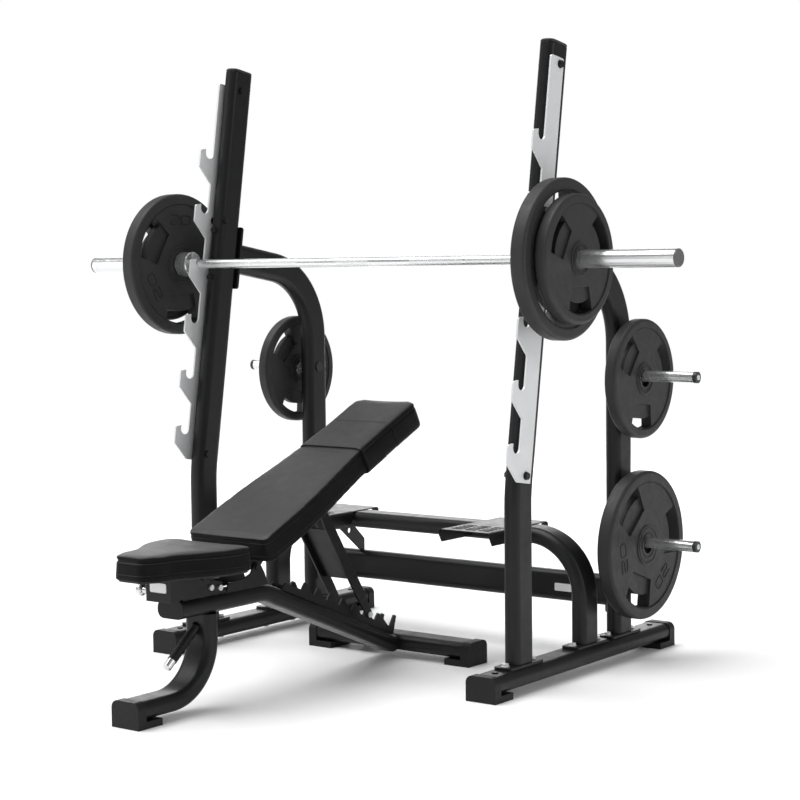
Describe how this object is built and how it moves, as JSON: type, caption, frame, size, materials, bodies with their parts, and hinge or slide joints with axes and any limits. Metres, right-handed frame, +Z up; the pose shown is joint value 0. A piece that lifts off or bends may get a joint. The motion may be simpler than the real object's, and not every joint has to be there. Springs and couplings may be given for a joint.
{
  "type": "weight bench in a half rack",
  "caption": "Half rack with leaning uprights, open bar hooks, disc pegs and steps, a loaded barbell and a free-standing adjustable bench.",
  "frame": {"origin": "on the floor, under the centre of the whole object's bounding box, midway between the two uprights", "axes": "+X along the barbell to the rack's right-hand side with two stored discs, -Y towards the lifter's feet, +Z up"},
  "size_m": [2.2, 1.78, 1.844],
  "materials": {
    "black_coat": "satin black powder coat, finely textured",
    "zinc_steel": "bright zinc-plated laser-cut steel",
    "chrome": "polished chrome",
    "disc_rubber": "dark grey moulded rubber, dull",
    "foot_rubber": "black moulded rubber",
    "hub_steel": "dark machined steel ring",
    "black_plastic": "black moulded plastic",
    "grey_plastic": "dark grey end cap",
    "vinyl": "black upholstery vinyl with fine grain",
    "board": "dark stained plywood board"
  },
  "bodies": {
    "rack": {"base_beams": "black_coat", "base_caps": "foot_rubber", "flange_plates": "black_coat", "frame_bolts": "zinc_steel", "uprights": "black_coat", "upright_caps": "black_plastic", "rear_arch_left": "black_coat", "rear_arch_right": "black_coat", "hook_plates": "zinc_steel", "steps": "black_coat", "step_gusset": "black_coat", "storage_pegs": "chrome", "peg_caps": "black_plastic", "tube_plugs": "black_plastic", "lower_cross_beam": "black_coat", "spotter_frame": "black_coat"},
    "barbell": {"bar_shaft": "chrome"},
    "sleeve_left": {"bar_sleeve_left": "chrome", "bar_end_cap_left": "grey_plastic"},
    "sleeve_right": {"bar_sleeve_right": "chrome", "bar_end_cap_right": "grey_plastic"},
    "bar_discs_left": {"bar_disc_large_left": "disc_rubber", "bar_disc_small_left": "disc_rubber", "bar_inserts_left": "hub_steel"},
    "bar_discs_right": {"bar_disc_large_right": "disc_rubber", "bar_disc_small_right": "disc_rubber", "bar_inserts_right": "hub_steel"},
    "stored_disc_mid_left": {"peg_disc_mid_left": "disc_rubber", "peg_insert_mid_left": "hub_steel"},
    "stored_disc_mid_right": {"peg_disc_mid_right": "disc_rubber", "peg_insert_mid_right": "hub_steel"},
    "stored_disc_low_right": {"peg_disc_low_right": "disc_rubber", "peg_insert_low_right": "hub_steel"},
    "bench": {"bench_leg": "black_coat", "bench_rail": "black_coat", "bench_crossbar": "black_coat", "bench_caps": "foot_rubber", "handle_bar": "chrome", "handle_grip": "foot_rubber", "back_bracket": "black_coat", "seat_bracket": "black_coat", "bench_pins": "zinc_steel", "ladder_plates": "black_coat", "wheel_mounts": "black_coat"},
    "wheel_left": {"transport_wheel_left": "foot_rubber"},
    "wheel_right": {"transport_wheel_right": "foot_rubber"},
    "backrest": {"back_pad": "vinyl", "back_board": "board", "head_cover": "vinyl", "back_frame_bars": "black_coat", "back_frame_straps": "black_coat", "prop_pin": "zinc_steel"},
    "prop": {"prop_arms": "black_coat", "prop_cross_plate": "black_coat", "prop_studs": "zinc_steel"},
    "seat": {"seat_pad": "vinyl", "seat_board": "board", "seat_carrier": "black_coat", "pull_pin_housing": "zinc_steel"},
    "pull_pin": {"pull_pin": "chrome"}
  },
  "joints": [
    {"name": "bar_lift", "type": "slide", "parent": "rack", "child": "barbell", "axis": [0, 0.1564, 0.9877], "range_m": [0, 0.06]},
    {"name": "sleeve_spin_left", "type": "hinge", "parent": "barbell", "child": "sleeve_left", "pos_m": [-0.88, 0.10304, 1.21758], "axis": [1, 0, 0], "continuous": true},
    {"name": "sleeve_spin_right", "type": "hinge", "parent": "barbell", "child": "sleeve_right", "pos_m": [0.88, 0.10304, 1.21758], "axis": [1, 0, 0], "continuous": true},
    {"name": "bar_discs_off_left", "type": "slide", "parent": "sleeve_left", "child": "bar_discs_left", "axis": [-1, 0, 0], "range_m": [0, 0.29]},
    {"name": "bar_discs_off_right", "type": "slide", "parent": "sleeve_right", "child": "bar_discs_right", "axis": [1, 0, 0], "range_m": [0, 0.29]},
    {"name": "stored_disc_off_mid_left", "type": "slide", "parent": "rack", "child": "stored_disc_mid_left", "axis": [-1, 0, 0], "range_m": [0, 0.17]},
    {"name": "stored_disc_off_mid_right", "type": "slide", "parent": "rack", "child": "stored_disc_mid_right", "axis": [1, 0, 0], "range_m": [0, 0.17]},
    {"name": "stored_disc_off_low_right", "type": "slide", "parent": "rack", "child": "stored_disc_low_right", "axis": [1, 0, 0], "range_m": [0, 0.16]},
    {"name": "bench_roll_out", "type": "slide", "parent": "rack", "child": "bench", "axis": [0, -1, 0], "range_m": [0, 0.6]},
    {"name": "wheel_spin_left", "type": "hinge", "parent": "bench", "child": "wheel_left", "pos_m": [-0.17, 0.3675, 0.028], "axis": [1, 0, 0], "continuous": true},
    {"name": "wheel_spin_right", "type": "hinge", "parent": "bench", "child": "wheel_right", "pos_m": [0.17, 0.3675, 0.028], "axis": [1, 0, 0], "continuous": true},
    {"name": "back_tilt", "type": "hinge", "parent": "bench", "child": "backrest", "pos_m": [0, -0.405, 0.368], "axis": [1, 0, 0], "range_deg": [-23.9, 41.1]},
    {"name": "prop_swing", "type": "hinge", "parent": "backrest", "child": "prop", "pos_m": [0, -0.14488, 0.5167], "axis": [1, 0, 0], "range_deg": [-60, 35]},
    {"name": "seat_tilt", "type": "hinge", "parent": "bench", "child": "seat", "pos_m": [0, -0.628, 0.368], "axis": [-1, 0, 0], "range_deg": [0, 12]},
    {"name": "pin_pull", "type": "slide", "parent": "seat", "child": "pull_pin", "axis": [-1, 0, 0], "range_m": [0, 0.01], "stiffness_N_per_m": 400}
  ],
  "couplings": [
    {"joint": "prop_swing", "follows": "back_tilt", "ratio": -1.45}
  ]
}
